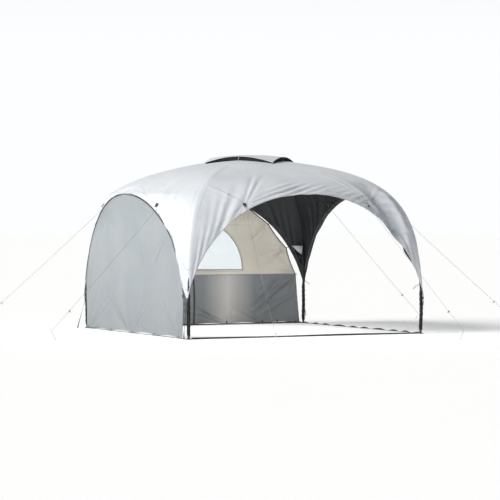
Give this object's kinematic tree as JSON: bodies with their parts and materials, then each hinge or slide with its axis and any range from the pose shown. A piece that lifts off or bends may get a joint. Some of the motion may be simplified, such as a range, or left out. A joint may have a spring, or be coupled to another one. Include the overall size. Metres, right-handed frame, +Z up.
{
  "type": "tarp shelter",
  "caption": "Dome tarp shelter on crossing pole arches, with arched openings, a plain side wall, a back wall with a clear window, a raised vent cap and guy lines.",
  "frame": {"origin": "on the ground under the crown, midway between the four feet", "axes": "+Z up; the open front faces -Y, the plain wall is at -X, the windowed back wall at +Y and the second open side at +X"},
  "size_m": [7.014, 5.2719, 2.433],
  "materials": {
    "canopy_cloth": "matte",
    "side_wall_cloth": "matte",
    "back_wall_cloth": "matte",
    "netting": "matte",
    "window_film": "gloss",
    "pole_steel": "satin",
    "pole_rod": "satin",
    "black_plastic": "satin",
    "prop_plastic": "satin",
    "zip_metal": "satin",
    "webbing": "matte",
    "guy_cord": "matte",
    "stake_metal": "satin"
  },
  "bodies": {
    "shelter": {"leg_front_left": "pole_steel", "ferrule_front_left": "pole_steel", "roof_rod_front_left": "pole_rod", "foot_front_left": "black_plastic", "leg_front_right": "pole_steel", "ferrule_front_right": "pole_steel", "roof_rod_front_right": "pole_rod", "foot_front_right": "black_plastic", "leg_rear_right": "pole_steel", "ferrule_rear_right": "pole_steel", "roof_rod_rear_right": "pole_rod", "foot_rear_right": "black_plastic", "leg_rear_left": "pole_steel", "ferrule_rear_left": "pole_steel", "roof_rod_rear_left": "pole_rod", "foot_rear_left": "black_plastic", "crown_hub": "black_plastic", "ground_strap_front": "webbing", "ground_strap_right": "webbing", "ground_strap_rear": "webbing", "ground_strap_left": "webbing", "canopy_front": "canopy_cloth", "canopy_right": "canopy_cloth", "canopy_rear": "canopy_cloth", "canopy_left": "canopy_cloth", "crown_netting": "netting", "vent_cap": "canopy_cloth", "vent_prop_front_left": "prop_plastic", "vent_prop_front_right": "prop_plastic", "vent_prop_rear_right": "prop_plastic", "vent_prop_rear_left": "prop_plastic", "guy_front_left": "guy_cord", "guy_front_right": "guy_cord", "guy_right_front": "guy_cord", "guy_right_rear": "guy_cord", "guy_left_rear": "guy_cord", "guy_left_front": "guy_cord"},
    "left_wall": {"left_wall": "side_wall_cloth"},
    "back_wall": {"back_wall": "back_wall_cloth", "window_film": "window_film", "wall_toggle_left_lower": "black_plastic", "wall_toggle_left_middle": "black_plastic", "wall_toggle_left_upper": "black_plastic", "wall_toggle_right_lower": "black_plastic", "wall_toggle_right_middle": "black_plastic", "wall_toggle_right_upper": "black_plastic"},
    "left_zip_slider": {"left_zip_slider": "zip_metal"},
    "back_zip_slider": {"back_zip_slider": "zip_metal"},
    "guy_slider_front_left": {"guy_slider_front_left": "black_plastic"},
    "stake_front_left": {"stake_front_left": "stake_metal"},
    "guy_slider_front_right": {"guy_slider_front_right": "black_plastic"},
    "stake_front_right": {"stake_front_right": "stake_metal"},
    "guy_slider_right_front": {"guy_slider_right_front": "black_plastic"},
    "stake_right_front": {"stake_right_front": "stake_metal"},
    "guy_slider_right_rear": {"guy_slider_right_rear": "black_plastic"},
    "stake_right_rear": {"stake_right_rear": "stake_metal"},
    "guy_slider_left_rear": {"guy_slider_left_rear": "black_plastic"},
    "stake_left_rear": {"stake_left_rear": "stake_metal"},
    "guy_slider_left_front": {"guy_slider_left_front": "black_plastic"},
    "stake_left_front": {"stake_left_front": "stake_metal"}
  },
  "joints": [
    {"name": "left_wall_drop", "type": "hinge", "parent": "shelter", "child": "left_wall", "pos_m": [-1.747, 0, 0.008], "axis": [0, 1, 0], "range_deg": [0, 80]},
    {"name": "back_wall_drop", "type": "hinge", "parent": "shelter", "child": "back_wall", "pos_m": [0, 1.741, 0.008], "axis": [-1, 0, 0], "range_deg": [0, 75]},
    {"name": "left_zip", "type": "slide", "parent": "left_wall", "child": "left_zip_slider", "axis": [-0.027, 0.2017, 0.9791], "range_m": [0, 0.24]},
    {"name": "back_zip", "type": "slide", "parent": "back_wall", "child": "back_zip_slider", "axis": [0, 0, 1], "range_m": [0, 0.68]},
    {"name": "guy_slider_front_left_run", "type": "slide", "parent": "shelter", "child": "guy_slider_front_left", "axis": [0.1774, 0.7274, 0.6629], "range_m": [-0.2, 0.6]},
    {"name": "guy_slider_front_right_run", "type": "slide", "parent": "shelter", "child": "guy_slider_front_right", "axis": [-0.1774, 0.7274, 0.6629], "range_m": [-0.2, 0.6]},
    {"name": "guy_slider_right_front_run", "type": "slide", "parent": "shelter", "child": "guy_slider_right_front", "axis": [-0.7274, 0.1774, 0.6629], "range_m": [-0.2, 0.6]},
    {"name": "guy_slider_right_rear_run", "type": "slide", "parent": "shelter", "child": "guy_slider_right_rear", "axis": [-0.7274, -0.1774, 0.6629], "range_m": [-0.2, 0.6]},
    {"name": "guy_slider_left_rear_run", "type": "slide", "parent": "shelter", "child": "guy_slider_left_rear", "axis": [0.7157, -0.1805, 0.6747], "range_m": [-0.2, 0.6]},
    {"name": "guy_slider_left_front_run", "type": "slide", "parent": "shelter", "child": "guy_slider_left_front", "axis": [0.7157, 0.1805, 0.6747], "range_m": [-0.2, 0.6]},
    {"name": "stake_front_left_pull", "type": "slide", "parent": "shelter", "child": "stake_front_left", "axis": [-0.1206, -0.4852, 0.866], "range_m": [0, 0.15]},
    {"name": "stake_front_right_pull", "type": "slide", "parent": "shelter", "child": "stake_front_right", "axis": [0.1206, -0.4852, 0.866], "range_m": [0, 0.15]},
    {"name": "stake_right_front_pull", "type": "slide", "parent": "shelter", "child": "stake_right_front", "axis": [0.4852, -0.1206, 0.866], "range_m": [0, 0.15]},
    {"name": "stake_right_rear_pull", "type": "slide", "parent": "shelter", "child": "stake_right_rear", "axis": [0.4852, 0.1206, 0.866], "range_m": [0, 0.15]},
    {"name": "stake_left_rear_pull", "type": "slide", "parent": "shelter", "child": "stake_left_rear", "axis": [-0.4852, 0.1206, 0.866], "range_m": [0, 0.15]},
    {"name": "stake_left_front_pull", "type": "slide", "parent": "shelter", "child": "stake_left_front", "axis": [-0.4852, -0.1206, 0.866], "range_m": [0, 0.15]}
  ]
}
